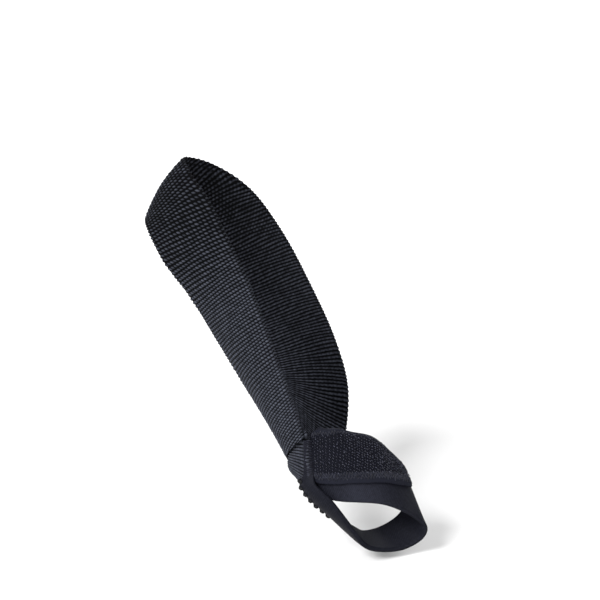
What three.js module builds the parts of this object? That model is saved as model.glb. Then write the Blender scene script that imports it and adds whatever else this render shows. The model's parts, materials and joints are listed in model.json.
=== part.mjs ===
// Bunion corrector for a left foot, in the form it has when worn.
// A wide elastic strap runs from the inner side of the ball round the back of the heel and under
// the sole to the ball again, where its two ends overlap. A foam band goes round the big toe from
// there, and a tape of hook-and-loop closes the band over the toe.
//
// Foot axes used below: +X towards the toes from the line across the ball of the foot,
// +Y towards the little toe from the middle of the foot, +Z up from the sole.

import * as THREE from 'three';

// Driving dimensions, in millimetres and degrees

const WEBBING_WIDTH = 45;
const WEBBING_THICKNESS = 1.6;
const BAND_WALL = 2.6;
const TAPE_THICKNESS = 1.5;
const SEAM_GAP = 0.3;
const WORN_PITCH = 16.6;
const TOE_SEAT = new THREE.Vector3(22, -28, 9);

// How finely the walls are cut up

const STRAP_STEPS = 110;
const STRAP_CUTS = 8;
const BAND_STEPS = 72;
const BAND_CUTS = 7;
const TAPE_STEPS = 36;
const TAPE_CUTS = 7;

// Webbing strap, from its end at the side of the ball along the inner side of the foot, round the
// back of the heel, down the outer side and under the sole to its other end at the ball: the upper
// edge of the outer face at each section, the way across the strap from there to its lower edge,
// and how far the section bows out from its chord.

const STRAP_SECTIONS = [
  { name: 'ball_side', x: -19.5, y: -41, z: 39, ax: -13.5, ay: 25, az: -31, bow: 6.5 },
  { name: 'ball_rear', x: -29.9, y: -38.5, z: 50.6, ax: -19.5, ay: 22, az: -32, bow: 6.5 },
  { name: 'arch_front', x: -43.4, y: -35.5, z: 63.4, ax: -24.5, ay: 17.5, az: -31.3, bow: 5 },
  { name: 'arch', x: -60.7, y: -32.5, z: 81.2, ax: -29.4, ay: 12, az: -30.9, bow: 3.5 },
  { name: 'ankle_under', x: -79.2, y: -29, z: 98.1, ax: -31.7, ay: 6.6, az: -30.9, bow: 2 },
  { name: 'ankle_rear', x: -96.8, y: -25.5, z: 111, ax: -33.4, ay: 0, az: -30, bow: 1.5 },
  { name: 'heel_side', x: -113.9, y: -21, z: 121.7, ax: -32.2, ay: 0, az: -31.1, bow: 2 },
  { name: 'heel_turn', x: -134.7, y: -13.5, z: 128.5, ax: -21.5, ay: 4, az: -39.5, bow: 2.5 },
  { name: 'heel_back', x: -146, y: 0, z: 127.5, ax: -14, ay: 0, az: -41.5, bow: 2.5 },
  { name: 'outer_turn', x: -137, y: 13, z: 124.5, ax: -20.5, ay: -4, az: -40, bow: 2.5 },
  { name: 'outer_heel', x: -117, y: 22, z: 117, ax: -32, ay: -3, az: -32, bow: 2 },
  { name: 'outer_ankle', x: -96, y: 29, z: 99.5, ax: -32, ay: -1, az: -31, bow: 2.5 },
  { name: 'outer_arch', x: -74, y: 35, z: 75, ax: -32, ay: -2, az: -30, bow: 3 },
  { name: 'outer_edge', x: -55, y: 40.5, z: 50, ax: -34, ay: -4, az: -28, bow: 4 },
  { name: 'outer_fold', x: -41, y: 42, z: 27, ax: -39, ay: -8.5, az: -14, bow: 5 },
  { name: 'sole_outer', x: -31, y: 33, z: 7, ax: -43.5, ay: -6, az: 4.5, bow: 2.5 },
  { name: 'sole', x: -22, y: 11, z: -2, ax: -42.5, ay: 9, az: 11.5, bow: 0.5 },
  { name: 'sole_inner', x: -15.5, y: -12.5, z: -2, ax: -37.5, ay: 22, az: 11.5, bow: 0.5 },
  { name: 'ball_under', x: -11.2, y: -30.3, z: 1.2, ax: -31, ay: 31.5, az: 6, bow: 0.5 },
  { name: 'ball_fold', x: -10, y: -40.4, z: 11.6, ax: -25.5, ay: 34.5, az: -7.5, bow: 2.5 },
  { name: 'ball_edge', x: -9.8, y: -43.6, z: 22, ax: -22.5, ay: 32.3, az: -18.5, bow: 6 },
  { name: 'ball_turn', x: -13.2, y: -42.7, z: 31, ax: -17.8, ay: 29, az: -26.5, bow: 7.4 },
  { name: 'ball_tuck', x: -18.8, y: -39.1, z: 38.8, ax: -13, ay: 26, az: -29.7, bow: 7 },
  { name: 'ball_end', x: -21.4, y: -38.3, z: 41.6, ax: -13.8, ay: 25.5, az: -29.7, bow: 7 },
];

// Foam band round the big toe, from its end beside the strap over the toe, down between the
// toes, under the toe and up to its other end at the side of the ball: the front and rear edge
// of the outer face at each section, the bow between them, and the share of the width that the
// tape leaves bare along the front.

const BAND_SECTIONS = [
  { name: 'top_end', fx: -6.5, fy: -41.6, fz: 20, rx: -19.3, ry: -32.8, rz: 38, bow: 2, bare: 0.12 },
  { name: 'side', fx: 2, fy: -42.6, fz: 19, rx: -16.6, ry: -32, rz: 42.4, bow: 2.5, bare: 0.14 },
  { name: 'side_top', fx: 10, fy: -41.5, fz: 19.5, rx: -13, ry: -31, rz: 43.5, bow: 2.5, bare: 0.17 },
  { name: 'top_inner', fx: 18, fy: -39, fz: 22.5, rx: -9.5, ry: -26, rz: 43.8, bow: 2.5, bare: 0.18 },
  { name: 'top', fx: 25.5, fy: -35, fz: 24, rx: -5, ry: -20.5, rz: 42.3, bow: 2.5, bare: 0.2 },
  { name: 'top_outer', fx: 32, fy: -30.5, fz: 23.6, rx: 2.3, ry: -13, rz: 40.7, bow: 2, bare: 0.25 },
  { name: 'web_top', fx: 37, fy: -25, fz: 20.8, rx: 10.2, ry: -8.9, rz: 36.2, bow: 1.5, bare: 0.35 },
  { name: 'web_inner', fx: 41.5, fy: -17.5, fz: 16, rx: 21, ry: -6.6, rz: 30.2, bow: 1, bare: 0.56 },
  { name: 'web', fx: 45.5, fy: -12.3, fz: 10.5, rx: 31, ry: -7.8, rz: 18.5, bow: 0, bare: 0.9 },
  { name: 'web_low', fx: 44.5, fy: -12.8, fz: 2.5, rx: 29, ry: -9.5, rz: 5, bow: 0.5, bare: 1 },
  { name: 'under_outer', fx: 39.5, fy: -20.5, fz: -3.6, rx: 22.5, ry: -17, rz: -4.2, bow: 0.5, bare: 1 },
  { name: 'under', fx: 32.5, fy: -30, fz: -4.5, rx: 18, ry: -25, rz: -5, bow: 0.5, bare: 1 },
  { name: 'under_inner', fx: 27, fy: -36.5, fz: -2.5, rx: 13.5, ry: -31, rz: -3.5, bow: 1, bare: 1 },
  { name: 'low_side', fx: 21, fy: -41.5, fz: 4.5, rx: 6.5, ry: -35.5, rz: 0.8, bow: 1.5, bare: 1 },
  { name: 'low_ball', fx: 13.5, fy: -45, fz: 12, rx: 1, ry: -39.5, rz: 5, bow: 1.5, bare: 1 },
  { name: 'low_seam', fx: 5.5, fy: -47, fz: 18, rx: -5, ry: -43.5, rz: 10, bow: 1.5, bare: 1 },
  { name: 'low_end', fx: -3.5, fy: -48, fz: 23, rx: -13, ry: -47, rz: 17, bow: 1.5, bare: 1 },
];

// The stretch of the toe band that carries the tape, as shares of the way along it, the tape's rear
// edge as a share of the band's width, and how far long edges round out, as a share of thickness

const TAPE_FROM = 0.012;
const TAPE_TO = 0.455;
const TAPE_REAR = 0.965;
const SELVEDGE_NOSE = 0.35;

// A curved sheet through the sections: near and far edge curves, bowed between them.

function makeSheet(sections) {
  const edge = (pick) => new THREE.CatmullRomCurve3(sections.map(pick), false, 'centripetal');
  const near = edge((row) => row.near);
  const far = edge((row) => row.far);
  const extra = edge((row) => new THREE.Vector3(row.bow, row.bare ?? 0, 0));
  const nudge = 1e-3;

  const chordAt = (u) => far.getPoint(u).sub(near.getPoint(u));
  const middleAt = (u) => near.getPoint(u).add(far.getPoint(u)).multiplyScalar(0.5);

  function outwardAt(u) {
    const before = Math.max(u - nudge, 0);
    const after = Math.min(u + nudge, 1);
    const along = middleAt(after).sub(middleAt(before));
    return along.cross(chordAt(u)).normalize();
  }

  function surface(u, v) {
    const bow = extra.getPoint(u).x;
    const point = near.getPoint(u).addScaledVector(chordAt(u), v);
    return point.addScaledVector(outwardAt(u), 4 * bow * v * (1 - v));
  }

  function normalAt(u, v) {
    const before = Math.max(u - nudge, 0);
    const after = Math.min(u + nudge, 1);
    const along = surface(after, v).sub(surface(before, v));
    const across = surface(u, v + nudge).sub(surface(u, v - nudge));
    return along.cross(across).normalize();
  }

  const bareAt = (u) => extra.getPoint(u).y;
  const lifted = (u, v, lift) => surface(u, v).addScaledVector(normalAt(u, v), lift);
  return { bareAt, chordAt, lifted };
}

// A wall over part of a sheet, between two lifts off its face, with rounded long edges.

function wallGeometry(sheet, { from, to, steps, cuts, low, high, vFrom, vTo }) {
  const ringSize = 2 * (cuts + 1) + 2;
  const positions = [];
  for (let i = 0; i <= steps; i += 1) {
    const u = from + ((to - from) * i) / steps;
    const v0 = vFrom(u);
    const v1 = vTo(u);
    const at = (j) => v0 + ((v1 - v0) * j) / cuts;
    const across = sheet.chordAt(u).normalize().multiplyScalar(SELVEDGE_NOSE * (high - low));
    const middle = (low + high) / 2;
    const ring = [];
    for (let j = 0; j <= cuts; j += 1) ring.push(sheet.lifted(u, at(j), high));
    ring.push(sheet.lifted(u, v1, middle).add(across));
    for (let j = cuts; j >= 0; j -= 1) ring.push(sheet.lifted(u, at(j), low));
    ring.push(sheet.lifted(u, v0, middle).sub(across));
    ring.forEach((point) => positions.push(point.x, point.y, point.z));
  }
  const index = [];
  for (let i = 0; i < steps; i += 1) {
    const here = i * ringSize;
    const next = here + ringSize;
    for (let k = 0; k < ringSize; k += 1) {
      const k2 = (k + 1) % ringSize;
      index.push(here + k, next + k, next + k2, here + k, next + k2, here + k2);
    }
  }
  closeEnd(index, 0, cuts, false);
  closeEnd(index, steps * ringSize, cuts, true);
  const geometry = new THREE.BufferGeometry();
  geometry.setAttribute('position', new THREE.Float32BufferAttribute(positions, 3));
  geometry.setIndex(index);
  return facingOut(geometry);
}

// The flat end of an open wall: a strip between its upper and lower face and its two noses.

function closeEnd(index, start, cuts, flip) {
  const upper = (j) => start + j;
  const lower = (j) => start + 2 * cuts + 2 - j;
  const farNose = start + cuts + 1;
  const nearNose = start + 2 * cuts + 3;
  const face = (a, b, c) => (flip ? index.push(a, c, b) : index.push(a, b, c));
  for (let j = 0; j < cuts; j += 1) {
    face(upper(j), upper(j + 1), lower(j));
    face(upper(j + 1), lower(j + 1), lower(j));
  }
  face(upper(cuts), farNose, lower(cuts));
  face(upper(0), lower(0), nearNose);
}

// Turns every triangle over when the body encloses a negative volume.

function facingOut(geometry) {
  const place = geometry.getAttribute('position');
  const index = geometry.getIndex();
  const corner = (n) => new THREE.Vector3().fromBufferAttribute(place, index.getX(n));
  let volume = 0;
  for (let n = 0; n < index.count; n += 3) {
    volume += corner(n).dot(corner(n + 1).cross(corner(n + 2)));
  }
  if (volume < 0) {
    for (let n = 0; n < index.count; n += 3) {
      const held = index.getX(n + 1);
      index.setX(n + 1, index.getX(n + 2));
      index.setX(n + 2, held);
    }
  }
  geometry.computeVertexNormals();
  return geometry;
}

// The webbing keeps its width along the bowed section, so a bowed one has a shorter chord.

function strapRow(row) {
  const chord = WEBBING_WIDTH - (8 * row.bow * row.bow) / (3 * WEBBING_WIDTH);
  const upper = new THREE.Vector3(row.x, row.y, row.z);
  const across = new THREE.Vector3(row.ax, row.ay, row.az).normalize();
  return { near: upper, far: upper.clone().addScaledVector(across, chord), bow: row.bow };
}

function bandRow(row) {
  return {
    near: new THREE.Vector3(row.fx, row.fy, row.fz),
    far: new THREE.Vector3(row.rx, row.ry, row.rz),
    bow: row.bow,
    bare: row.bare,
  };
}

const strapSheet = makeSheet(STRAP_SECTIONS.map(strapRow));
const bandSheet = makeSheet(BAND_SECTIONS.map(bandRow));

// Materials

const webbing = new THREE.MeshStandardMaterial({ color: 0x17181b, roughness: 0.78, metalness: 0 });
const smoothFoam = new THREE.MeshStandardMaterial({ color: 0x121317, roughness: 0.6, metalness: 0 });
const hookTape = new THREE.MeshStandardMaterial({ color: 0x0e0e11, roughness: 0.9, metalness: 0 });

function addPiece(group, name, geometry, material) {
  const piece = new THREE.Mesh(geometry, material);
  piece.name = name;
  group.add(piece);
}

// The brace, turned toe-down as it is worn, with the seat of the toe at the origin

const brace = new THREE.Group();

addPiece(brace, 'heel_strap', wallGeometry(strapSheet, {
  from: 0, to: 1, steps: STRAP_STEPS, cuts: STRAP_CUTS, low: -WEBBING_THICKNESS, high: 0,
  vFrom: () => 0, vTo: () => 1,
}), webbing);

addPiece(brace, 'toe_band', wallGeometry(bandSheet, {
  from: 0, to: 1, steps: BAND_STEPS, cuts: BAND_CUTS, low: -BAND_WALL, high: 0,
  vFrom: () => 0, vTo: () => 1,
}), smoothFoam);

addPiece(brace, 'fastening_tape', wallGeometry(bandSheet, {
  from: TAPE_FROM, to: TAPE_TO, steps: TAPE_STEPS, cuts: TAPE_CUTS,
  low: SEAM_GAP, high: SEAM_GAP + TAPE_THICKNESS,
  vFrom: (u) => bandSheet.bareAt(u), vTo: () => TAPE_REAR,
}), hookTape);

brace.rotation.y = THREE.MathUtils.degToRad(WORN_PITCH);
brace.position.copy(TOE_SEAT).applyEuler(brace.rotation).negate();

const bunionCorrector = new THREE.Group();
bunionCorrector.add(brace);

export default bunionCorrector;
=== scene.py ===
"""Looks of the bunion corrector: ribbed elastic strap, foam toe band, hook tape and their stitching."""

import json
import math

import bpy
import numpy as np
from bpy.props import FloatProperty, FloatVectorProperty, IntProperty, PointerProperty
from mathutils import Matrix

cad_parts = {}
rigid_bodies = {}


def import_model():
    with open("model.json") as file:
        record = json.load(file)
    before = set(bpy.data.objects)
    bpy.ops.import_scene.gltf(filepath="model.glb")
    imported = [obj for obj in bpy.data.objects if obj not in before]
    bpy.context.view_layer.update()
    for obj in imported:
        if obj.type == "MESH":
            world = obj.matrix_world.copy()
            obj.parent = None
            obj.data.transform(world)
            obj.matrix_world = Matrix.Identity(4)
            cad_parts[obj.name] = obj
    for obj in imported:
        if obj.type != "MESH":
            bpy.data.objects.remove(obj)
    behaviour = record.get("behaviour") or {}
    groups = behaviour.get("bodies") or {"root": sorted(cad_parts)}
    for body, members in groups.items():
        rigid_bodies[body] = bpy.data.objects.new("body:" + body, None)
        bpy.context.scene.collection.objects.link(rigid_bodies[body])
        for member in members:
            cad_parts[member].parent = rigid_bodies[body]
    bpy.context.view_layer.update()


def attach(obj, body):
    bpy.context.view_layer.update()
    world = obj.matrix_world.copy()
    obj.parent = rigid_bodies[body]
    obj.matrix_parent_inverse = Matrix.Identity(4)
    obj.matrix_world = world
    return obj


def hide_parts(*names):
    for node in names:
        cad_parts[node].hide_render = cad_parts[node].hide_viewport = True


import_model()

bl_info = {
    "name": "Bunion corrector",
    "version": (1, 0, 0),
    "blender": (4, 5, 0),
    "location": "View3D > Sidebar > Brace",
    "description": "Builds the strap, toe band, hook tape and stage of a bunion corrector",
    "category": "Object",
}

MM = 0.001

# Worn pose: the toe-down pitch in degrees and the toe seat in foot axes, in millimetres

WORN_PITCH = 16.6
TOE_SEAT = (22.0, -28.0, 9.0)

# Strap sections in foot axes, in millimetres: upper edge of the outer face, way across, bow

STRAP_SECTIONS = {
    # section: (x, y, z, across x, across y, across z, bow)
    "ball_side": (-19.5, -41, 39, -13.5, 25, -31, 6.5),
    "ball_rear": (-29.9, -38.5, 50.6, -19.5, 22, -32, 6.5),
    "arch_front": (-43.4, -35.5, 63.4, -24.5, 17.5, -31.3, 5),
    "arch": (-60.7, -32.5, 81.2, -29.4, 12, -30.9, 3.5),
    "ankle_under": (-79.2, -29, 98.1, -31.7, 6.6, -30.9, 2),
    "ankle_rear": (-96.8, -25.5, 111, -33.4, 0, -30, 1.5),
    "heel_side": (-113.9, -21, 121.7, -32.2, 0, -31.1, 2),
    "heel_turn": (-134.7, -13.5, 128.5, -21.5, 4, -39.5, 2.5),
    "heel_back": (-146, 0, 127.5, -14, 0, -41.5, 2.5),
    "outer_turn": (-137, 13, 124.5, -20.5, -4, -40, 2.5),
    "outer_heel": (-117, 22, 117, -32, -3, -32, 2),
    "outer_ankle": (-96, 29, 99.5, -32, -1, -31, 2.5),
    "outer_arch": (-74, 35, 75, -32, -2, -30, 3),
    "outer_edge": (-55, 40.5, 50, -34, -4, -28, 4),
    "outer_fold": (-41, 42, 27, -39, -8.5, -14, 5),
    "sole_outer": (-31, 33, 7, -43.5, -6, 4.5, 2.5),
    "sole": (-22, 11, -2, -42.5, 9, 11.5, 0.5),
    "sole_inner": (-15.5, -12.5, -2, -37.5, 22, 11.5, 0.5),
    "ball_under": (-11.2, -30.3, 1.2, -31, 31.5, 6, 0.5),
    "ball_fold": (-10, -40.4, 11.6, -25.5, 34.5, -7.5, 2.5),
    "ball_edge": (-9.8, -43.6, 22, -22.5, 32.3, -18.5, 6),
    "ball_turn": (-13.2, -42.7, 31, -17.8, 29, -26.5, 7.4),
    "ball_tuck": (-18.8, -39.1, 38.8, -13, 26, -29.7, 7),
    "ball_end": (-21.4, -38.3, 41.6, -13.8, 25.5, -29.7, 7),
}

# Toe band sections: front and rear edge of the outer face, bow, share left bare by the tape

BAND_SECTIONS = {
    # section: (front x, y, z, rear x, y, z, bow, bare share)
    "top_end": (-4.6, -42.3, 17.6, -19.3, -32.8, 38, 2, 0.18),
    "side": (3.4, -43, 17.5, -16.6, -32, 42.4, 2.5, 0.22),
    "side_top": (9.8, -42, 19.4, -13, -31, 43.5, 2.5, 0.235),
    "top_inner": (16.8, -39.2, 22, -9.5, -26, 43.8, 2.5, 0.235),
    "top": (23.4, -35, 23.7, -5, -20.5, 42.3, 2.5, 0.24),
    "top_outer": (29.4, -30.6, 24, 2.3, -13, 40.7, 2, 0.28),
    "web_top": (34.8, -25.1, 21.9, 10.2, -8.9, 36.2, 1.5, 0.36),
    "web_inner": (39.8, -17.6, 16.8, 21, -6.6, 30.2, 1, 0.55),
    "web": (45.5, -12.3, 10.5, 31, -7.8, 18.5, 0, 0.9),
    "web_low": (44.5, -12.8, 2.5, 29, -9.5, 5, 0.5, 1),
    "under_outer": (39.5, -20.5, -3.6, 22.5, -17, -4.2, 0.5, 1),
    "under": (32.5, -30, -4.5, 18, -25, -5, 0.5, 1),
    "under_inner": (27, -36.5, -2.5, 13.8, -31, -1, 1, 1),
    "low_side": (21, -41.5, 4.5, 7, -35.5, 2.5, 1.3, 1),
    "low_ball": (13.5, -45, 12, 1.5, -39.8, 6.5, 1.3, 1),
    "low_seam": (5.5, -46.7, 18, -4.9, -42.8, 10.1, 1.3, 1),
    "low_end": (-4.2, -46.2, 21.8, -13.2, -44.2, 17, 1.2, 1),
    "low_tip": (-8.2, -43.2, 25.6, -12.3, -44.2, 23.1, 0.3, 1),
    "low_tail": (-16.3, -37.1, 38.2, -18.4, -40.7, 38.1, 0.3, 1),
}

BAND_ROWS = len(BAND_SECTIONS) - 1

# Painted sheen of the band's face against the share of its way, brightest across the front strip, set to the
# tones of the photo

BAND_PAINTED_SHEEN = {0: 0.1, 0.08: 0.15, 0.165: 0.6, 0.22: 0.45, 0.3: 0.15, 0.45: 0.1, 0.6: 0, 0.96: 0, 1: 0.3}

# Thin tail of the band: share of the way where it starts, lead before that, share of the wall it loses

TAIL_FROM = (BAND_ROWS - 2) / BAND_ROWS
TAIL_LEAD = 0.02
TAIL_LOSS = 0.68

# Tape in shares of the band's way: its two ends and the stretch over which the far end rounds off

TAPE_FROM = 0.0107
TAPE_TO = 0.404
TAPE_ROUND = 0.03

# Tape in shares of the band's width: its rear edge, and the corner that is cut off at its far end

TAPE_REAR = 0.965
TAPE_CORNER = 0.12

# Share of the tape's thickness lost at its far end, rear border against the front one, gap in millimetres

TAPE_END_LOSS = 0.5
REAR_BORDER = 0.4
SEAM_GAP = 0.3

# Weave of the strap against the way along it in millimetres; lightness is set to the photo

STRAP_WEAVE = {
    # way along: (rib pitch, ribs gained across, beads and bead depth against the heel's, lightness)
    0: (1.72, 4.9, 1.24, 1.0, 1.1),
    24: (1.72, 4.9, 1.24, 1.0, 1.1),
    52: (1.87, 4.0, 1.21, 1.08, 1.06),
    82: (1.70, 4.2, 1.21, 1.08, 1.04),
    100: (1.95, 2.8, 1.14, 1.04, 0.94),
    114: (2.18, 1.7, 1.05, 1.0, 0.84),
    133: (2.45, 1.5, 1.00, 1.0, 0.76),
    170: (2.50, 1.0, 1.00, 1.0, 0.76),
    215: (2.10, 0, 1.05, 0.9, 0.8),
    260: (1.80, 0, 1.30, 0.65, 0.86),
    375: (1.75, 0, 1.30, 0.65, 0.9),
    392: (1.27, 0, 1.25, 0.6, 1.05),
    405: (1.22, -7.5, 1.25, 0.6, 1.02),
    440: (1.22, -7.5, 1.25, 0.6, 1.02),
}


def strap_weave(run):
    """Columns of the weave table at the ways along the strap."""
    columns = np.array(list(STRAP_WEAVE.values())).T
    return [np.interp(run, list(STRAP_WEAVE), column) for column in columns]


# Settings

class StrapSettings(bpy.types.PropertyGroup):
    width: FloatProperty(name="Width", description="Width of the webbing", default=45 * MM, unit="LENGTH")
    thickness: FloatProperty(name="Thickness", description="Thickness of the webbing between its ribs",
                             default=0.9 * MM, unit="LENGTH")
    rib_height: FloatProperty(name="Rib height", description="How far the ribs stand up",
                              default=0.8 * MM, unit="LENGTH")
    bead_length: FloatProperty(name="Bead length", default=2.65 * MM, unit="LENGTH",
                               description="Length of a thread bead along a rib at the heel")
    bead_depth: FloatProperty(name="Bead depth", description="Share of the rib height cut in between beads",
                              default=0.9, subtype="FACTOR")
    color: FloatVectorProperty(name="Colour", description="Colour of the webbing threads", subtype="COLOR",
                               default=(0.073, 0.079, 0.102))


class BandSettings(bpy.types.PropertyGroup):
    wall: FloatProperty(name="Wall", description="Thickness of the foam", default=2.6 * MM, unit="LENGTH")
    overlock_pitch: FloatProperty(name="Overlock pitch", description="Spacing of the overlock loops",
                                  default=3.9 * MM, unit="LENGTH")
    color: FloatVectorProperty(name="Colour", description="Colour of the knit face", subtype="COLOR",
                               default=(0.0073, 0.0077, 0.0112))


class TapeSettings(bpy.types.PropertyGroup):
    thickness: FloatProperty(name="Thickness", description="Thickness of the tape",
                             default=1.3 * MM, unit="LENGTH")
    border: FloatProperty(name="Border", description="Width of the plain woven border",
                          default=5.0 * MM, unit="LENGTH")
    column_pitch: FloatProperty(name="Column pitch", description="Spacing of the hook columns",
                                default=1.35 * MM, unit="LENGTH")
    row_pitch: FloatProperty(name="Row pitch", description="Spacing of the hooks in a column",
                             default=1.45 * MM, unit="LENGTH")
    seed: IntProperty(name="Seed", description="Seed of the hooks' small irregularities", default=7)
    color: FloatVectorProperty(name="Colour", description="Colour of the tape", subtype="COLOR",
                               default=(0.0029, 0.0031, 0.0047))


class StageSettings(bpy.types.PropertyGroup):
    floor_height: FloatProperty(name="Floor height", description="Height of the floor",
                                default=-20.5 * MM, unit="LENGTH")
    lens: FloatProperty(name="Lens", description="Focal length for the sensor's width, in millimetres",
                        default=104.53)
    azimuth: FloatProperty(name="Azimuth", description="Way the camera looks from",
                           default=math.radians(33.03), subtype="ANGLE")
    elevation: FloatProperty(name="Elevation", description="Height of the camera over the horizon",
                             default=math.radians(18.72), subtype="ANGLE")
    roll: FloatProperty(name="Roll", description="Turn of the camera about its own axis",
                        default=math.radians(-0.854), subtype="ANGLE")


# Sheets through the sections

def spline(points, t):
    """Centripetal curve through the points, at shares t of the way."""
    last = len(points) - 1
    place = np.clip(t, 0, 1) * last
    i = np.minimum(place.astype(int), last - 1)
    w = (place - i)[..., None]
    ends = np.vstack([2 * points[0] - points[1], points, 2 * points[-1] - points[-2]])
    p0, p1, p2, p3 = ends[i], ends[i + 1], ends[i + 2], ends[i + 3]

    def gap(a, b):
        return np.maximum(np.sqrt(np.linalg.norm(b - a, axis=-1, keepdims=True)), 1e-4)

    d0, d1, d2 = gap(p0, p1), gap(p1, p2), gap(p2, p3)
    t1 = ((p1 - p0) / d0 - (p2 - p0) / (d0 + d1) + (p2 - p1) / d1) * d1
    t2 = ((p2 - p1) / d1 - (p3 - p1) / (d1 + d2) + (p3 - p2) / d2) * d1
    return p1 + w * t1 + w ** 2 * (3 * (p2 - p1) - 2 * t1 - t2) + w ** 3 * (2 * (p1 - p2) + t1 + t2)


def unit(v):
    return v / np.maximum(np.linalg.norm(v, axis=-1, keepdims=True), 1e-12)


class Sheet:
    """A bowed sheet between a near and a far edge curve, in foot axes and millimetres."""

    NUDGE = 1e-3

    def __init__(self, near, far, bow, bare):
        self.near = np.array(near, float)
        self.far = np.array(far, float)
        self.extra = np.array([(b, s, 0) for b, s in zip(bow, bare)], float)

    def chord(self, u):
        return spline(self.far, u) - spline(self.near, u)

    def width(self, u):
        return np.linalg.norm(self.chord(u), axis=1)

    def bare(self, u):
        return spline(self.extra, u)[..., 1]

    def outward(self, u):
        def middle(t):
            return 0.5 * (spline(self.near, t) + spline(self.far, t))
        along = middle(np.minimum(u + self.NUDGE, 1)) - middle(np.maximum(u - self.NUDGE, 0))
        return unit(np.cross(along, self.chord(u)))

    def surface(self, u, v):
        bow = spline(self.extra, u)[..., :1]
        share = v[..., None]
        flat = spline(self.near, u) + self.chord(u) * share
        return flat + self.outward(u) * 4 * bow * share * (1 - share)

    def frame_at(self, u, v):
        """Point, way along, way across and outward normal."""
        before, after = np.maximum(u - self.NUDGE, 0), np.minimum(u + self.NUDGE, 1)
        along = unit(self.surface(after, v) - self.surface(before, v))
        across = unit(self.surface(u, v + self.NUDGE) - self.surface(u, v - self.NUDGE))
        return self.surface(u, v), along, across, unit(np.cross(along, across))

    def length_along(self, u, v):
        """Way along the sheet at share v, for rising shares u."""
        step = np.linalg.norm(np.diff(self.surface(u, np.full_like(u, v)), axis=0), axis=1)
        return np.concatenate([[0], np.cumsum(step)])


def strap_sheet(width):
    near, far, bows = [], [], []
    for x, y, z, ax, ay, az, bow in STRAP_SECTIONS.values():
        upper = np.array((x, y, z), float)
        across = unit(np.array((ax, ay, az), float))
        near.append(upper)
        far.append(upper + across * (width - 8 * bow * bow / (3 * width)))
        bows.append(bow)
    return Sheet(near, far, bows, [0] * len(bows))


def tape_end(u):
    """How far a place has gone into the tape's rounded far end, from 0 to 1."""
    return np.clip((u - TAPE_TO + TAPE_ROUND) / TAPE_ROUND, 0, 1)


def tape_front(sheet, u):
    """Share of the band's width at the tape's front edge, which rounds off at the tape's end."""
    return sheet.bare(u) + TAPE_CORNER * (1 - np.sqrt(1 - 0.98 * tape_end(u) ** 2))


def tape_top(thickness, u):
    """Height of the tape's face over the band, in millimetres; it thins out at the tape's end."""
    return SEAM_GAP + thickness / MM * (1 - TAPE_END_LOSS * tape_end(u) ** 2)


def band_sheet():
    rows = list(BAND_SECTIONS.values())
    return Sheet([r[0:3] for r in rows], [r[3:6] for r in rows], [r[6] for r in rows], [r[7] for r in rows])


PITCH_TURN = math.radians(WORN_PITCH)
TO_WORN = np.array(((math.cos(PITCH_TURN), 0, math.sin(PITCH_TURN)), (0, 1, 0),
                    (-math.sin(PITCH_TURN), 0, math.cos(PITCH_TURN))))


def to_part(points):
    """Foot axes in millimetres to the part's frame in metres."""
    return (points - np.array(TOE_SEAT)) @ TO_WORN.T * MM


def turn_to_part(directions):
    return directions @ TO_WORN.T


# Meshes

def new_object(name, mesh):
    obj = bpy.data.objects.new(name, mesh)
    bpy.context.scene.collection.objects.link(obj)
    return obj


def store(mesh, name, kind, values):
    layer = mesh.attributes.new(name, kind, "POINT")
    field = "vector" if kind == "FLOAT_VECTOR" else "value"
    layer.data.foreach_set(field, np.asarray(values, np.float32).ravel())


def add_cloth_map(mesh, coords):
    """UV map that holds the way along and across the cloth, in metres."""
    corners = np.empty(len(mesh.loops), np.int32)
    mesh.loops.foreach_get("vertex_index", corners)
    layer = mesh.uv_layers.new(name="cloth")
    layer.data.foreach_set("uv", np.asarray(coords, np.float32)[corners].ravel())


def ring_faces(stations, ring):
    """Quads between neighbouring rings, then one face at each end."""
    i = np.arange(stations - 1)[:, None] * ring
    k = np.arange(ring)[None, :]
    k2 = (k + 1) % ring
    quads = np.stack([i + k2, i + ring + k2, i + ring + k, i + k], -1).reshape(-1, 4)
    last = (stations - 1) * ring
    ends = [tuple(range(ring - 1, -1, -1)), tuple(range(last, last + ring))]
    return [tuple(q) for q in quads.tolist()] + ends


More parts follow.
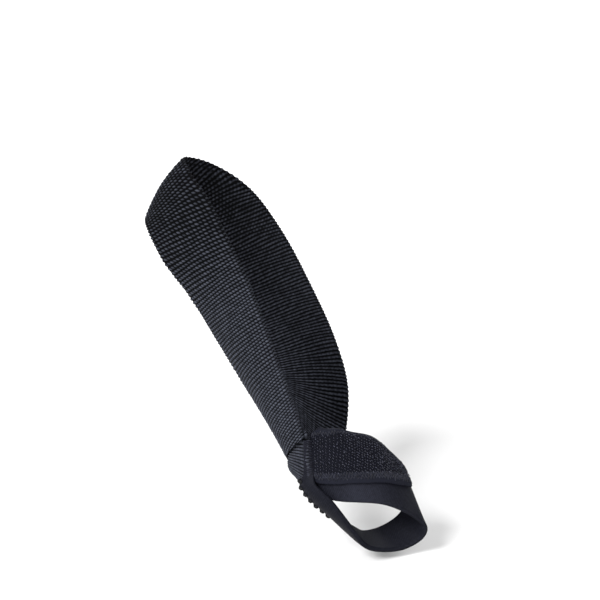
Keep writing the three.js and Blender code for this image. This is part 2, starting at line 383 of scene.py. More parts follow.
def wall_mesh(name, sheet, us, shares_of, low, high, cuts, inner_cuts, nose_cuts, length):
    """Closed wall over a sheet: outer face, rounded far edge, inner face, rounded near edge."""
    low, high = low + np.zeros_like(us), high + np.zeros_like(us)
    middle, half = 0.5 * (low + high), 0.5 * (high - low)
    ring = cuts + inner_cuts + 2 + 2 * nose_cuts
    points = np.zeros((len(us), ring, 3))
    outward = np.zeros((len(us), ring, 3))
    across_mm = np.zeros((len(us), ring))
    v0, v1 = shares_of(us)
    width = sheet.width(us)

    def put(k, share, angle):
        place, _, across, normal = sheet.frame_at(us, share)
        way = normal * math.cos(angle) + across * math.sin(angle)
        points[:, k] = place + normal * middle[:, None] + way * half[:, None]
        outward[:, k] = way
        across_mm[:, k] = share * width

    inner = cuts + 1 + nose_cuts
    for j in range(cuts + 1):
        put(j, v0 + (v1 - v0) * j / cuts, 0)
    for j in range(inner_cuts + 1):
        put(inner + j, v1 + (v0 - v1) * j / inner_cuts, math.pi)
    for j in range(nose_cuts):
        angle = math.pi * (j + 1) / (nose_cuts + 1)
        put(cuts + 1 + j, v1, angle)
        put(ring - nose_cuts + j, v0, math.pi + angle)

    mesh = bpy.data.meshes.new(name)
    faces = ring_faces(len(us), ring)
    mesh.from_pydata(to_part(points.reshape(-1, 3)).tolist(), [], faces, shade_flat=False)
    facing_out(mesh)
    flat_ends(mesh)
    run = np.repeat(length(us), ring)
    add_cloth_map(mesh, np.stack([run, across_mm.ravel()], 1) * MM)
    store(mesh, "outward", "FLOAT_VECTOR", turn_to_part(outward.reshape(-1, 3)))
    store(mesh, "across", "FLOAT", across_mm.ravel() * MM)
    return mesh, ring


def flat_ends(mesh):
    """Shades the two end faces flat, so that the wall's shading runs on over a seam."""
    for face in mesh.polygons[-2:]:
        face.use_smooth = False


def facing_out(mesh):
    """Turns all faces over when the body encloses a negative volume."""
    mesh.calc_loop_triangles()
    count = len(mesh.loop_triangles)
    corners = np.empty(count * 3, np.int32)
    mesh.loop_triangles.foreach_get("vertices", corners)
    places = np.empty(len(mesh.vertices) * 3, np.float32)
    mesh.vertices.foreach_get("co", places)
    tri = places.reshape(-1, 3)[corners.reshape(-1, 3)].astype(float)
    volume = np.einsum("ij,ij->i", tri[:, 0], np.cross(tri[:, 1], tri[:, 2])).sum()
    if volume < 0:
        mesh.flip_normals()


# Geometry node trees

class Tree:
    """A geometry node tree with short ways to add its nodes."""

    def __init__(self, name):
        self.tree = bpy.data.node_groups.new(name, "GeometryNodeTree")
        self.face = self.tree.interface
        self.face.new_socket("Geometry", in_out="INPUT", socket_type="NodeSocketGeometry")
        self.face.new_socket("Geometry", in_out="OUTPUT", socket_type="NodeSocketGeometry")
        self.ids = {}
        self.given = None

    def input(self, name, kind):
        self.ids[name] = self.face.new_socket(name, in_out="INPUT", socket_type=kind).identifier

    def open(self):
        self.given = self.tree.nodes.new("NodeGroupInput")

    def node(self, kind, **settings):
        made = self.tree.nodes.new(kind)
        for key, value in settings.items():
            setattr(made, key, value)
        return made

    def link(self, source, target):
        self.tree.links.new(source, target)

    def math(self, operation, a, b=0.0):
        made = self.node("ShaderNodeMath", operation=operation)
        for socket, value in zip(made.inputs, (a, b)):
            if isinstance(value, (int, float)):
                socket.default_value = value
            else:
                self.link(value, socket)
        return made.outputs[0]

    def attribute(self, name, kind):
        made = self.node("GeometryNodeInputNamedAttribute", data_type=kind)
        made.inputs["Name"].default_value = name
        return made.outputs["Attribute"]

    def close(self, geometry):
        """Ends the tree in Realize Instances and Set Material."""
        realize = self.node("GeometryNodeRealizeInstances")
        paint = self.node("GeometryNodeSetMaterial")
        done = self.node("NodeGroupOutput")
        self.link(geometry, realize.inputs["Geometry"])
        self.link(realize.outputs["Geometry"], paint.inputs["Geometry"])
        self.link(self.given.outputs["Material"], paint.inputs["Material"])
        self.link(paint.outputs["Geometry"], done.inputs["Geometry"])


# Form of the ribs: how sharp a rib and a bead are, height of the lowest beads against the highest

RIB_SHARP = 1.3
BEAD_SHARP = 0.9
BEAD_LEAST = 0.65

# Painted shade in the grooves: share of a place's extra lightness that fills them, and lightness it starts
# from

GROOVE_FILL = 0.5
FILL_FROM = 0.75


def rib_tree():
    """Raises the webbing's ribs and beads from the rib count and the place across the strap, and stores a
    tone that paints shade into their grooves.
    """
    t = Tree("strap ribs")
    for name in ("Rib Height", "Bead Depth", "Bead Slant"):
        t.input(name, "NodeSocketFloat")
    t.input("Material", "NodeSocketMaterial")
    t.open()
    given = t.given.outputs
    rib = t.attribute("rib", "FLOAT")
    phase = t.math("FRACT", rib)
    number = t.math("FLOOR", rib)
    ridge = t.math("POWER", t.math("SINE", t.math("MULTIPLY", phase, math.pi)), RIB_SHARP)
    slant = t.math("MULTIPLY", given["Bead Slant"], phase)
    beads = t.math("SUBTRACT", t.attribute("warp", "FLOAT"), slant)
    bead = t.math("ABSOLUTE", t.math("SINE", t.math("MULTIPLY", beads, math.pi)))
    bead = t.math("POWER", bead, BEAD_SHARP)
    strength = t.attribute("bead", "FLOAT")
    depth = t.math("MULTIPLY", given["Bead Depth"], strength)
    cut = t.math("SUBTRACT", 1.0, t.math("MULTIPLY", depth, t.math("SUBTRACT", 1.0, bead)))
    spot = t.node("ShaderNodeCombineXYZ")
    t.link(number, spot.inputs["X"])
    t.link(t.math("FLOOR", beads), spot.inputs["Y"])
    chance = t.node("ShaderNodeTexWhiteNoise", noise_dimensions="2D")
    t.link(spot.outputs["Vector"], chance.inputs["Vector"])
    uneven = t.math("ADD", t.math("MULTIPLY", chance.outputs["Value"], 1 - BEAD_LEAST), BEAD_LEAST)
    relief = t.math("MULTIPLY", t.math("MULTIPLY", ridge, cut), uneven)
    light = t.attribute("light", "FLOAT")
    lift = t.math("MULTIPLY", t.math("SUBTRACT", light, FILL_FROM), GROOVE_FILL)
    filled = t.math("MULTIPLY", lift, t.math("SUBTRACT", 1.0, relief))
    height = t.math("MULTIPLY", relief, given["Rib Height"])
    scale = t.node("ShaderNodeVectorMath", operation="SCALE")
    t.link(t.attribute("outward", "FLOAT_VECTOR"), scale.inputs[0])
    t.link(height, scale.inputs["Scale"])
    move = t.node("GeometryNodeSetPosition")
    # The stored relief leads the colour: painted shade makes the grooves dark, lifted where the strap is
    # lighter
    keep = t.node("GeometryNodeStoreNamedAttribute", data_type="FLOAT", domain="POINT")
    keep.inputs["Name"].default_value = "relief"
    t.link(given["Geometry"], keep.inputs["Geometry"])
    t.link(t.math("ADD", t.math("MULTIPLY", relief, light), filled), keep.inputs["Value"])
    t.link(keep.outputs["Geometry"], move.inputs["Geometry"])
    t.link(scale.outputs["Vector"], move.inputs["Offset"])
    t.close(move.outputs["Geometry"])
    return t


def scatter_tree():
    """Places one small shape at every point, turned and sized by the points' own values."""
    t = Tree("small shapes")
    t.input("Shape", "NodeSocketObject")
    t.input("Material", "NodeSocketMaterial")
    t.open()
    info = t.node("GeometryNodeObjectInfo", transform_space="ORIGINAL")
    t.link(t.given.outputs["Shape"], info.inputs["Object"])
    turn = t.node("FunctionNodeEulerToRotation")
    t.link(t.attribute("turn", "FLOAT_VECTOR"), turn.inputs[0])
    place = t.node("GeometryNodeInstanceOnPoints")
    t.link(t.given.outputs["Geometry"], place.inputs["Points"])
    t.link(info.outputs["Geometry"], place.inputs["Instance"])
    t.link(turn.outputs[0], place.inputs["Rotation"])
    t.link(t.attribute("size", "FLOAT_VECTOR"), place.inputs["Scale"])
    t.close(place.outputs["Instances"])
    return t


def apply_tree(obj, t, values):
    """Runs the tree on the object and keeps the result as its plain mesh."""
    modifier = obj.modifiers.new("build", "NODES")
    modifier.node_group = t.tree
    for name, value in values.items():
        modifier[t.ids[name]] = value
    depsgraph = bpy.context.evaluated_depsgraph_get()
    result = bpy.data.meshes.new_from_object(obj.evaluated_get(depsgraph), preserve_all_data_layers=True,
                                             depsgraph=depsgraph)
    obj.modifiers.remove(modifier)
    plain = obj.data
    obj.data = result
    bpy.data.meshes.remove(plain)
    if not len(result.polygons):
        raise RuntimeError(f"{obj.name} came out empty")


def scatter(name, places, x_axes, z_axes, sizes, shape, material):
    """Object made of one small shape at each place: z_axes point away, x_axes along."""
    z = unit(z_axes)
    x = unit(x_axes - z * np.sum(x_axes * z, axis=1, keepdims=True))
    y = np.cross(z, x)
    turns = [Matrix(np.stack([a, b, c], 1).tolist()).to_euler() for a, b, c in zip(x, y, z)]
    mesh = bpy.data.meshes.new(name)
    mesh.from_pydata(to_part(places).tolist(), [], [])
    store(mesh, "turn", "FLOAT_VECTOR", [tuple(e) for e in turns])
    store(mesh, "size", "FLOAT_VECTOR", sizes)
    obj = new_object(name, mesh)
    stamp = new_object(name + "_shape", shape)
    apply_tree(obj, scatter_tree(), {"Shape": stamp, "Material": material})
    bpy.data.objects.remove(stamp)
    return obj


# Small shapes, in metres, with z away from the cloth

def tube_shape(name, path, radii, sides):
    """Closed tube along a path of points."""
    path = np.array(path, float)
    along = unit(np.gradient(path, axis=0))
    side = unit(np.cross(along, (0, 1, 0)) + 1e-9)
    up = np.cross(side, along)
    points, faces = [], []
    for p, s, u, r in zip(path, side, up, radii):
        for k in range(sides):
            a = 2 * math.pi * k / sides
            points.append(p + r * (s * math.cos(a) + u * math.sin(a)))
    for i in range(len(path) - 1):
        for k in range(sides):
            k2 = (k + 1) % sides
            faces.append((i * sides + k, i * sides + k2, (i + 1) * sides + k2, (i + 1) * sides + k))
    faces.append(tuple(range(sides))[::-1])
    faces.append(tuple((len(path) - 1) * sides + k for k in range(sides)))
    mesh = bpy.data.meshes.new(name)
    mesh.from_pydata([tuple(p * MM) for p in points], [], faces, shade_flat=False)
    facing_out(mesh)
    return mesh


def hook_shape():
    """A monofilament hook: a short stem that bends over."""
    stem, reach, top = 0.3, 0.85, 0.28
    path = [(0, 0, -0.15), (0, 0, stem)]
    for k in range(1, 6):
        a = math.pi * k / 5
        path.append((0.5 * reach * (1 - math.cos(a)), 0, stem + top * math.sin(a)))
    return tube_shape("hook", path, [0.135] * 6 + [0.1], 5)


def stitch_shape():
    """One stitch: a thread that dips in at both ends, one unit long."""
    path = [(-0.5, 0, -0.25), (-0.38, 0, 0.12), (0, 0, 0.2), (0.38, 0, 0.12), (0.5, 0, -0.25)]
    return tube_shape("stitch", path, [0.16, 0.2, 0.22, 0.2, 0.16], 6)


def loop_shape():
    """A thread loop that goes over an edge, about one unit across."""
    path = []
    for k in range(9):
        a = math.pi * (k / 8 * 1.3 - 0.65)
        path.append((0.55 * math.cos(a), 0, 0.75 * math.sin(a)))
    return tube_shape("loop", path, [0.26, 0.34, 0.4, 0.43, 0.44, 0.43, 0.4, 0.34, 0.26], 6)


# Materials

def shader_math(tree, operation, a, b=0.0):
    made = tree.nodes.new("ShaderNodeMath")
    made.operation = operation
    for socket, value in zip(made.inputs, (a, b)):
        if isinstance(value, (int, float)):
            socket.default_value = value
        else:
            tree.links.new(value, socket)
    return made.outputs[0]


def thread_group():
    """Fine threads along the cloth map: a height and a mask that change over the surface."""
    name = "fine threads"
    if name in bpy.data.node_groups:
        return bpy.data.node_groups[name]
    group = bpy.data.node_groups.new(name, "ShaderNodeTree")
    face = group.interface
    for label, value in (("Along Pitch", 0.0005), ("Across Pitch", 0.0005), ("Roughen", 0.5)):
        face.new_socket(label, in_out="INPUT", socket_type="NodeSocketFloat").default_value = value
    face.new_socket("Height", in_out="OUTPUT", socket_type="NodeSocketFloat")
    face.new_socket("Fleck", in_out="OUTPUT", socket_type="NodeSocketFloat")
    given = group.nodes.new("NodeGroupInput")
    done = group.nodes.new("NodeGroupOutput")
    place = group.nodes.new("ShaderNodeUVMap")
    place.uv_map = "cloth"
    split = group.nodes.new("ShaderNodeSeparateXYZ")
    group.links.new(place.outputs["UV"], split.inputs[0])

    def wave(axis, pitch):
        turns = shader_math(group, "DIVIDE", split.outputs[axis], given.outputs[pitch])
        return shader_math(group, "SINE", shader_math(group, "MULTIPLY", turns, 2 * math.pi))

    weave = shader_math(group, "MULTIPLY", wave("X", "Along Pitch"), wave("Y", "Across Pitch"))
    coords = group.nodes.new("ShaderNodeTexCoord")
    noise = group.nodes.new("ShaderNodeTexNoise")
    noise.inputs["Scale"].default_value = 1400
    noise.inputs["Detail"].default_value = 3
    group.links.new(coords.outputs["Object"], noise.inputs["Vector"])
    rough = shader_math(group, "MULTIPLY", noise.outputs["Fac"], given.outputs["Roughen"])
    height = shader_math(group, "ADD", shader_math(group, "MULTIPLY", weave, 0.5), rough)
    fleck = group.nodes.new("ShaderNodeTexNoise")
    fleck.inputs["Scale"].default_value = 900
    fleck.inputs["Detail"].default_value = 4
    group.links.new(coords.outputs["Object"], fleck.inputs["Vector"])
    group.links.new(height, done.inputs["Height"])
    group.links.new(fleck.outputs["Fac"], done.inputs["Fleck"])
    return group


def cloth_material(name, dark, light, roughness, gloss, threads, roughen, bump, mask=None, share=0.0,
                   weave=0.0):
    """Dark cloth with flecks of a lighter tone, led by a mask; thread pitches and bump in millimetres."""
    material = bpy.data.materials.new(name)
    material.use_nodes = True
    tree = material.node_tree
    shader = tree.nodes["Principled BSDF"]
    shader.inputs["Specular IOR Level"].default_value = gloss
    cloth = tree.nodes.new("ShaderNodeGroup")
    cloth.node_tree = thread_group()
    cloth.inputs["Along Pitch"].default_value = threads[0] * MM
    cloth.inputs["Across Pitch"].default_value = threads[1] * MM
    cloth.inputs["Roughen"].default_value = roughen
    tone = tree.nodes.new("ShaderNodeValToRGB")
    tone.color_ramp.elements[0].position = 0.3
    tone.color_ramp.elements[0].color = (*dark, 1)
    tone.color_ramp.elements[1].position = 0.85
    tone.color_ramp.elements[1].color = (*light, 1)
    fleck = cloth.outputs["Fleck"]
    if weave:
        raised = shader_math(tree, "MULTIPLY", cloth.outputs["Height"], weave)
        fleck = shader_math(tree, "ADD", fleck, raised)
    if mask:
        lead = tree.nodes.new("ShaderNodeAttribute")
        lead.attribute_name = mask
        fleck = shader_math(tree, "MULTIPLY", fleck, 1 - share)
        fleck = shader_math(tree, "ADD", fleck, shader_math(tree, "MULTIPLY", lead.outputs["Fac"], share))
    tree.links.new(fleck, tone.inputs["Fac"])
    tree.links.new(tone.outputs["Color"], shader.inputs["Base Color"])
    rough = shader_math(tree, "MULTIPLY", cloth.outputs["Fleck"], 0.3)
    tree.links.new(shader_math(tree, "ADD", rough, roughness - 0.15), shader.inputs["Roughness"])
    relief = tree.nodes.new("ShaderNodeBump")
    relief.inputs["Strength"].default_value = 0.6
    relief.inputs["Distance"].default_value = bump * MM
    tree.links.new(cloth.outputs["Height"], relief.inputs["Height"])
    tree.links.new(relief.outputs["Normal"], shader.inputs["Normal"])
    return material


def lighter(color, times):
    return tuple(c * times for c in color)


def settle(obj, node=None):
    """Hides the CAD part that the piece stands in for, if one is given, and hangs the piece on the root
    body.
    """
    if node:
        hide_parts(node)
    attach(obj, "root")


# Strap

def rib_counts(sheet):
    """Shares of the strap's way, with the ribs and the millimetres passed up to each of them."""
    fine = np.linspace(0, 1, 3001)
    run = sheet.length_along(fine, 0.5)
    pitch = strap_weave(run)[0]
    count = np.concatenate([[0], np.cumsum(np.diff(run) * 2 / (pitch[1:] + pitch[:-1]))])
    return fine, count, run


STRAP_LENGTHS = {
    # piece: (share it ends at, stations in a rib, cuts on the outer face, cuts on the inner face)
    "heel_strap_arch_side": (0.20, 8, 112, 28),
    "heel_strap_heel": (0.40, 10, 112, 28),
    "heel_strap_outer_side": (1.0, 6, 56, 36),
}

# Strap in shares of its width: inset of both edges, and how far its sewn start reaches down to the fold

STRAP_EDGE = 0.012
START_REACH = 0.05

# Share of the way over which the sewn start narrows to the strap's own width

START_TAPER = 0.05

# Unevenness of the ribs: depth in ribs, length across in millimetres, turn from one rib to the next

WOBBLE = 0.14
WOBBLE_LENGTH = 6.5
WOBBLE_TURN = 0.55

# Number of the first rib, which keeps the numbers above zero, and the slant of the beads over one rib

FIRST_RIB = 40
BEAD_SLANT = 0.7


def strap_edges(u):
    """Shares of the width at the strap's two edges."""
    start = np.clip(1 - u / START_TAPER, 0, 1)
    return 0 * u + STRAP_EDGE, 1 - STRAP_EDGE + START_REACH * start


def strap_piece(name, settings, first, last, samples, cuts, inner_cuts, material):
    """Length of the strap from one rib to another."""
    sheet = strap_sheet(settings.width / MM)
    fine, count, run = rib_counts(sheet)
    steps = int(round((last - first) * samples))
    wanted = np.linspace(first, last, steps + 1)
    us = np.interp(wanted, count, fine)
    sunk = 0.5 * settings.rib_height / MM
    core = settings.thickness / MM
    mesh, ring = wall_mesh(name, sheet, us, strap_edges, low=-sunk - core, high=-sunk, cuts=cuts,
                           inner_cuts=inner_cuts, nose_cuts=4, length=lambda u: np.interp(u, fine, run))
    across = np.empty(len(mesh.vertices), np.float32)
    mesh.attributes["across"].data.foreach_get("value", across)
    share = across / (np.repeat(sheet.width(us), ring) * MM)
    weave = strap_weave(np.interp(us, fine, run))
    _, skew, finer, depth, light = (np.repeat(column, ring) for column in weave)
    number = np.repeat(wanted, ring)
    wobble = WOBBLE * np.sin(across / (WOBBLE_LENGTH * MM) + WOBBLE_TURN * number)
    store(mesh, "rib", "FLOAT", FIRST_RIB + number + skew * share + wobble)
    store(mesh, "warp", "FLOAT", share * settings.width / settings.bead_length * finer)
    store(mesh, "bead", "FLOAT", depth)
    store(mesh, "light", "FLOAT", light)
    obj = new_object(name, mesh)
    apply_tree(obj, rib_tree(), {"Rib Height": settings.rib_height, "Bead Depth": settings.bead_depth,
                                 "Bead Slant": BEAD_SLANT, "Material": material})
    return obj


class BRACE_OT_heel_strap(bpy.types.Operator):
    """Ribbed elastic strap round the heel, with the beads of its ribs"""

    bl_idname = "brace.heel_strap"
    bl_label = "Heel strap"

    def execute(self, context):
        settings = context.scene.brace_strap
        # The dark tone, led by the stored relief, is painted shade in the grooves between the ribs and beads
        material = cloth_material("ribbed webbing", lighter(settings.color, 0.013), tuple(settings.color),
                                  roughness=0.6, gloss=0.03, threads=(0.42, 0.6), roughen=0.9, bump=0.12,
                                  mask="relief", share=0.8)
        fine, count, run = rib_counts(strap_sheet(settings.width / MM))
        first = 0.0
        for name, (end, samples, cuts, inner_cuts) in STRAP_LENGTHS.items():
            last = np.interp(end, fine, count)
            if last < count[-1]:
                last = round(last)
            obj = strap_piece(name, settings, first, last, samples, cuts, inner_cuts, material)
            settle(obj, "heel_strap")
            first = last
        return {"FINISHED"}


# Toe band

# Overlock loops: how many, share of the way of the first, seat behind the edge in millimetres, sizes

OVERLOCK_LOOPS = 7
OVERLOCK_FROM = TAIL_FROM + 0.014
OVERLOCK_SEAT = 1.3
OVERLOCK_SIZE = (3.2, 2.9, 2.2)


class BRACE_OT_toe_band(bpy.types.Operator):
    """Knit-faced foam band round the big toe, with the overlock loops along its lower rear edge"""

    bl_idname = "brace.toe_band"
    bl_label = "Toe band"

    def execute(self, context):
        settings = context.scene.brace_band
        sheet = band_sheet()
        share = np.linspace(0, 1, 1201)
        run = sheet.length_along(share, 0.5)
        us = np.linspace(0, 1, 361)
        # The band's paler tone is a painted sheen, led by the share stored below
        material = cloth_material("smooth knit foam", tuple(settings.color), lighter(settings.color, 3.2),
                                  roughness=0.5, gloss=0.03, threads=(1.0, 1.6), roughen=0.25, bump=0.14,
                                  mask="painted_sheen", share=0.45, weave=0.7)
        tail = np.clip((us - TAIL_FROM + TAIL_LEAD) * BAND_ROWS, 0, 1)
        wall = settings.wall / MM * (1 - TAIL_LOSS * tail)
        mesh, ring = wall_mesh("toe_band_foam", sheet, us, lambda u: (0 * u, 0 * u + 1), low=-wall, high=0.0,
                               cuts=44, inner_cuts=30, nose_cuts=7,
                               length=lambda u: np.interp(u, share, run))
        # Painted sheen: the share of the paler tone along the band's way
        painted_sheen = np.interp(us, list(BAND_PAINTED_SHEEN), list(BAND_PAINTED_SHEEN.values()))
        store(mesh, "painted_sheen", "FLOAT", np.repeat(painted_sheen, ring))
        mesh.materials.append(material)
        band = new_object("toe_band_foam", mesh)
        loops = self.overlock(settings, sheet, share)
        settle(band, "toe_band")
        mean_width = float(np.mean(sheet.width(share))) * MM
        settle(loops)
        return {"FINISHED"}

    def overlock(self, settings, sheet, share):
        """Thread loops over the band's rear edge, from its end at the ball down to the toe's side."""
        edge = sheet.length_along(share, 1.0)
        first = np.interp(OVERLOCK_FROM, share, edge)
        at = first - settings.overlock_pitch / MM * np.arange(OVERLOCK_LOOPS)
        us = np.interp(at, edge, share)
        point, _, _, normal = sheet.frame_at(us, np.ones_like(us))
        away = unit(sheet.chord(us))
        places = point - normal * 0.3 * settings.wall / MM - away * OVERLOCK_SEAT
        sizes = np.tile(OVERLOCK_SIZE, (len(us), 1))
        material = cloth_material("overlock thread", lighter(settings.color, 0.25),
                                  lighter(settings.color, 0.8), roughness=0.6, gloss=0.2,
                                  threads=(0.4, 0.4), roughen=0.9, bump=0.08)
        return scatter("toe_band_overlock", places, turn_to_part(away), turn_to_part(sheet.outward(us)),
                       sizes, loop_shape(), material)


# Fastening tape

# Hook field: clear margins at the tape's two ends in millimetres, clear share of the way before the far end

HOOK_MARGINS = (2.0, 0.8)
HOOK_CLEAR = 0.008

# Columns of hooks: lead before the first, slope, stretch over which it grows, its least share, most hooks

COLUMN_LEAD = 8
COLUMN_SLOPE = 0.3
SLOPE_STRETCH = 12
SLOPE_LEAST = 0.35
COLUMN_STEPS = 40

# Spread of the hooks: along and across in shares, tilt, twist and its spread, sizes from and to

HOOK_SPREAD = (0.0010, 0.005)
HOOK_TILT = 0.32
HOOK_TWIST = (1.4, 0.35)
HOOK_SIZES = (0.55, 1.0)

# Zigzag rows: both sides against the border's width, step along in millimetres, whether on the rear border

ZIGZAGS = (
    (0.3, 0.66, 0.8, False),
    (0.55, 1.0, 0.65, False),
    (0.1, REAR_BORDER, 0.85, True),
)
ZIGZAG_MARGINS = (1.0, 1.5)
ZIGZAG_SPREAD = 0.32
STITCH_SIZES = (0.65, 1.05)

# Whip stitches over the band's tail: how many, place across it, way across and along in millimetres

WHIPS = 19
WHIP_PLACE = 0.35
WHIP_ACROSS = 2.3
WHIP_ALONG = 0.7


class BRACE_OT_fastening_tape(bpy.types.Operator):
    """Hook tape on the toe band: woven base, borders with zigzag stitches, and rows of hooks"""

    bl_idname = "brace.fastening_tape"
    bl_label = "Fastening tape"

    def execute(self, context):
        settings = context.scene.brace_tape
        sheet = band_sheet()
        share = np.linspace(0, 1, 1201)
        run = sheet.length_along(share, 0.5)
        us = np.linspace(TAPE_FROM, TAPE_TO, 181)
        top = tape_top(settings.thickness, us)
        mesh, ring = wall_mesh("fastening_tape_base", sheet, us,
                               lambda u: (tape_front(sheet, u), np.full_like(u, TAPE_REAR)),
                               low=SEAM_GAP, high=top, cuts=72, inner_cuts=20, nose_cuts=3,
                               length=lambda u: np.interp(u, share, run))
        v0 = np.repeat(tape_front(sheet, us), ring)
        width = np.repeat(sheet.width(us), ring)
        across = np.empty(len(mesh.vertices), np.float32)
        mesh.attributes["across"].data.foreach_get("value", across)
        front = across / MM - v0 * width
        rear = TAPE_REAR * width - across / MM
        border = settings.border / MM
        fade = 0.6
        mask = np.clip((border - front) / fade, 0, 1) + np.clip((REAR_BORDER * border - rear) / fade, 0, 1)
        store(mesh, "border", "FLOAT", np.clip(mask, 0, 1))
        material = cloth_material("hook tape", tuple(settings.color), lighter(settings.color, 4.1),
                                  roughness=0.6, gloss=0.02, threads=(1.1, 1.1), roughen=0.8, bump=0.3,
                                  mask="border", share=0.5, weave=1.2)
        mesh.materials.append(material)
        base = new_object("fastening_tape_base", mesh)
        hooks = self.hooks(settings, sheet, share, run)
        seams = self.seams(settings, sheet, share, run)
        settle(base, "fastening_tape")
        mean_width = float(np.mean((TAPE_REAR - tape_front(sheet, us)) * sheet.width(us))) * MM
        settle(hooks)
        settle(seams)
        return {"FINISHED"}

    def hooks(self, settings, sheet, share, run):
        """Bent monofilament hooks between the borders, with every other column half a row on."""
        chance = np.random.default_rng(settings.seed)
        begin = np.interp(TAPE_FROM, share, run) + HOOK_MARGINS[0]
        end = np.interp(TAPE_TO, share, run) - HOOK_MARGINS[1]
        border = settings.border / MM
        spots = []
        columns = np.arange(begin - COLUMN_LEAD, end, settings.column_pitch / MM)
        for number, at in enumerate(columns):
            slope = COLUMN_SLOPE * np.clip((at - begin) / SLOPE_STRETCH, SLOPE_LEAST, 1)
            for step in range(COLUMN_STEPS):
                rise = (step + 0.5 * (number % 2)) * settings.row_pitch / MM
                way = at + slope * rise
                u = np.interp(way, run, share)
                one = np.array([u])
                width = sheet.width(one)[0]
                place = tape_front(sheet, one)[0] * width + border + rise
                between_ends = way > begin and u < TAPE_TO - HOOK_CLEAR
                if between_ends and place < TAPE_REAR * width - REAR_BORDER * border:
                    spots.append((u, place / width))
        spots = np.array(spots)
        us = spots[:, 0] + chance.normal(0, HOOK_SPREAD[0], len(spots))
        vs = spots[:, 1] + chance.normal(0, HOOK_SPREAD[1], len(spots))
        point, along, across, normal = sheet.frame_at(us, vs)
        tilt = chance.normal(0, HOOK_TILT, (len(spots), 2))
        up = unit(normal + along * tilt[:, :1] + across * tilt[:, 1:])
        turn = 0.7 * along - across * chance.normal(*HOOK_TWIST, (len(spots), 1))
        size = np.repeat(chance.uniform(*HOOK_SIZES, (len(spots), 1)), 3, axis=1)
        material = cloth_material("hook filament", lighter(settings.color, 2.0), lighter(settings.color, 30),
                                  roughness=0.34, gloss=0.5, threads=(0.4, 0.4), roughen=0.4, bump=0.04)
        top = tape_top(settings.thickness, us)[:, None]
        return scatter("fastening_tape_hooks", point + normal * top, turn_to_part(turn), turn_to_part(up),
                       size, hook_shape(), material)

    def seams(self, settings, sheet, share, run):
        """Zigzag stitches that sew both borders down, and whip stitches over the band's tail."""
        begin = np.interp(TAPE_FROM, share, run) + ZIGZAG_MARGINS[0]
        end = np.interp(TAPE_TO, share, run) - ZIGZAG_MARGINS[1]
        border = settings.border / MM
        points, ways, ups, sizes = [], [], [], []
        chance = np.random.default_rng(settings.seed)

        def add(point, way, up):
            length = np.linalg.norm(way, axis=1)
            thick = chance.uniform(*STITCH_SIZES, len(length))
            points.append(point)
            ways.append(way)
            ups.append(up)
            sizes.append(np.stack([length, thick, thick], 1))

        for near, far, step, rear in ZIGZAGS:
            us = np.interp(np.arange(begin, end, step), run, share)
            side = np.where(np.arange(len(us)) % 2, near, far)
            inset = (side * border + chance.normal(0, ZIGZAG_SPREAD, len(us))) / sheet.width(us)
            vs = TAPE_REAR - inset if rear else tape_front(sheet, us) + inset
            point, _, _, normal = sheet.frame_at(us, vs)
            face = point + normal * tape_top(settings.thickness, us)[:, None]
            add(0.5 * (face[1:] + face[:-1]), face[1:] - face[:-1], normal[1:])
        us = np.linspace(TAIL_FROM + 0.8 / BAND_ROWS, 1 - 0.02 / BAND_ROWS, WHIPS)
        point, along, across, normal = sheet.frame_at(us, np.full_like(us, WHIP_PLACE))
        add(point, WHIP_ACROSS * across + WHIP_ALONG * along, normal)
        material = cloth_material("seam thread", lighter(settings.color, 0.7), lighter(settings.color, 14),
                                  roughness=0.5, gloss=0.2, threads=(0.3, 0.3), roughen=0.7, bump=0.05)
        return scatter("fastening_tape_seams", np.concatenate(points), turn_to_part(np.concatenate(ways)),
                       turn_to_part(np.concatenate(ups)), np.concatenate(sizes), stitch_shape(), material)


# Stage

CAMERA_PLACE = (0.39645, -0.67117, 0.37802)
SENSOR_WIDTH = 36
FLOOR_REACH = 6.0

# Strength of the white room as a light, and what the camera sees on top of it

ROOM_LIGHT = 0.4
ROOM_EXTRA = 0.65

LIGHTS = {
    # name: (way to the light, strength, angle of the light's disc in degrees)
    "key": ((-0.3, -0.72, 0.75), 4.0, 28),
    "side": ((0.8, -0.5, 0.5), 1.4, 40),
    "rear": ((-0.2, 0.8, 0.8), 1.4, 40),
}


def plain_material(name, color, roughness):
    material = bpy.data.materials.new(name)
    material.use_nodes = True
    shader = material.node_tree.nodes["Principled BSDF"]
    shader.inputs["Base Color"].default_value = (*color, 1)
    shader.inputs["Roughness"].default_value = roughness
    shader.inputs["Specular IOR Level"].default_value = 0.2
    return material


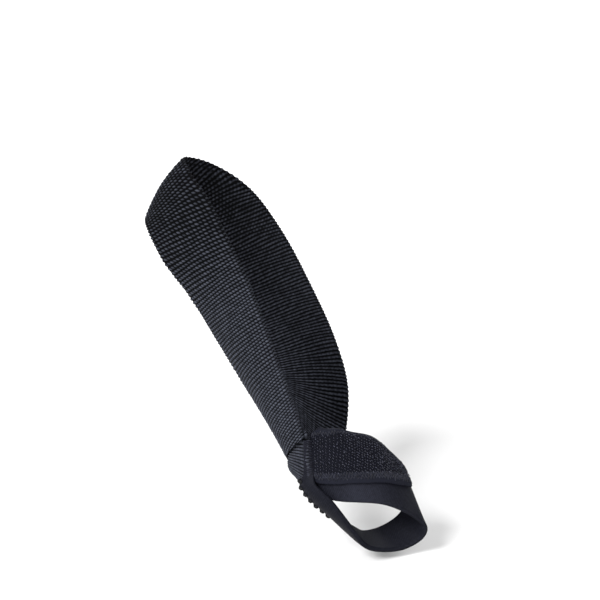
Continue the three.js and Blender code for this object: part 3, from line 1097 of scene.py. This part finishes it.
class BRACE_OT_stage(bpy.types.Operator):
    """Pale floor, soft lights and the camera"""

    bl_idname = "brace.stage"
    bl_label = "Stage"

    def execute(self, context):
        settings = context.scene.brace_stage
        corners = [(x * FLOOR_REACH, y * FLOOR_REACH, settings.floor_height)
                   for x, y in ((-1, -1), (1, -1), (1, 1), (-1, 1))]
        mesh = bpy.data.meshes.new("floor")
        mesh.from_pydata(corners, [], [(0, 1, 2, 3)])
        mesh.materials.append(plain_material("pale floor", (0.78, 0.78, 0.78), 0.8))
        new_object("floor", mesh)
        for name, (way, strength, angle) in LIGHTS.items():
            self.add_light(name, unit(np.array(way)), strength, angle)
        world = bpy.data.worlds.new("soft room")
        world.use_nodes = True
        room = world.node_tree
        ray = room.nodes.new("ShaderNodeLightPath")
        extra = shader_math(room, "MULTIPLY", ray.outputs["Is Camera Ray"], ROOM_EXTRA)
        strength = shader_math(room, "ADD", extra, ROOM_LIGHT)
        room.nodes["Background"].inputs["Color"].default_value = (1, 1, 1, 1)
        room.links.new(strength, room.nodes["Background"].inputs["Strength"])
        context.scene.world = world
        context.scene.view_settings.view_transform = "Standard"
        self.add_camera(context, settings)
        return {"FINISHED"}

    def add_light(self, name, back, strength, angle):
        lamp = bpy.data.lights.new(name, "SUN")
        lamp.energy = strength
        lamp.angle = math.radians(angle)
        obj = bpy.data.objects.new(name, lamp)
        side = unit(np.cross((0, 0, 1), back))
        up = np.cross(back, side)
        obj.matrix_world = Matrix(np.stack([side, up, back], 1).tolist()).to_4x4()
        bpy.context.scene.collection.objects.link(obj)

    def add_camera(self, context, settings):
        az, el, roll = settings.azimuth, settings.elevation, settings.roll
        back = np.array((math.sin(az) * math.cos(el), -math.cos(az) * math.cos(el), math.sin(el)))
        flat = np.array((math.cos(az), math.sin(az), 0))
        rise = np.cross(back, flat)
        right = flat * math.cos(roll) + rise * math.sin(roll)
        up = -flat * math.sin(roll) + rise * math.cos(roll)
        camera = bpy.data.cameras.new("camera")
        camera.lens = settings.lens
        camera.sensor_width = SENSOR_WIDTH
        camera.clip_end = 50
        obj = bpy.data.objects.new("camera", camera)
        turn = Matrix(np.stack([right, up, back], 1).tolist()).to_4x4()
        obj.matrix_world = Matrix.Translation(CAMERA_PLACE) @ turn
        context.scene.collection.objects.link(obj)
        context.scene.camera = obj


class BRACE_PT_panel(bpy.types.Panel):
    """Lists the pieces and their sizes"""

    bl_idname = "BRACE_PT_panel"
    bl_label = "Bunion corrector"
    bl_space_type = "VIEW_3D"
    bl_region_type = "UI"
    bl_category = "Brace"

    def draw(self, context):
        scene = context.scene
        for operator, settings in PARTS:
            box = self.layout.box()
            box.operator(operator.bl_idname)
            group = getattr(scene, settings)
            for key in group.__annotations__:
                box.prop(group, key)


SETTINGS = {
    "brace_strap": StrapSettings,
    "brace_band": BandSettings,
    "brace_tape": TapeSettings,
    "brace_stage": StageSettings,
}
PARTS = (
    (BRACE_OT_heel_strap, "brace_strap"),
    (BRACE_OT_toe_band, "brace_band"),
    (BRACE_OT_fastening_tape, "brace_tape"),
    (BRACE_OT_stage, "brace_stage"),
)


def register():
    for name, group in SETTINGS.items():
        bpy.utils.register_class(group)
        setattr(bpy.types.Scene, name, PointerProperty(type=group))
    for operator, _ in PARTS:
        bpy.utils.register_class(operator)
    bpy.utils.register_class(BRACE_PT_panel)


def unregister():
    bpy.utils.unregister_class(BRACE_PT_panel)
    for operator, _ in reversed(PARTS):
        bpy.utils.unregister_class(operator)
    for name, group in reversed(SETTINGS.items()):
        delattr(bpy.types.Scene, name)
        bpy.utils.unregister_class(group)


def main():
    register()
    bpy.ops.brace.heel_strap()
    bpy.ops.brace.toe_band()
    bpy.ops.brace.fastening_tape()
    bpy.ops.brace.stage()


if __name__ == "__main__":
    main()
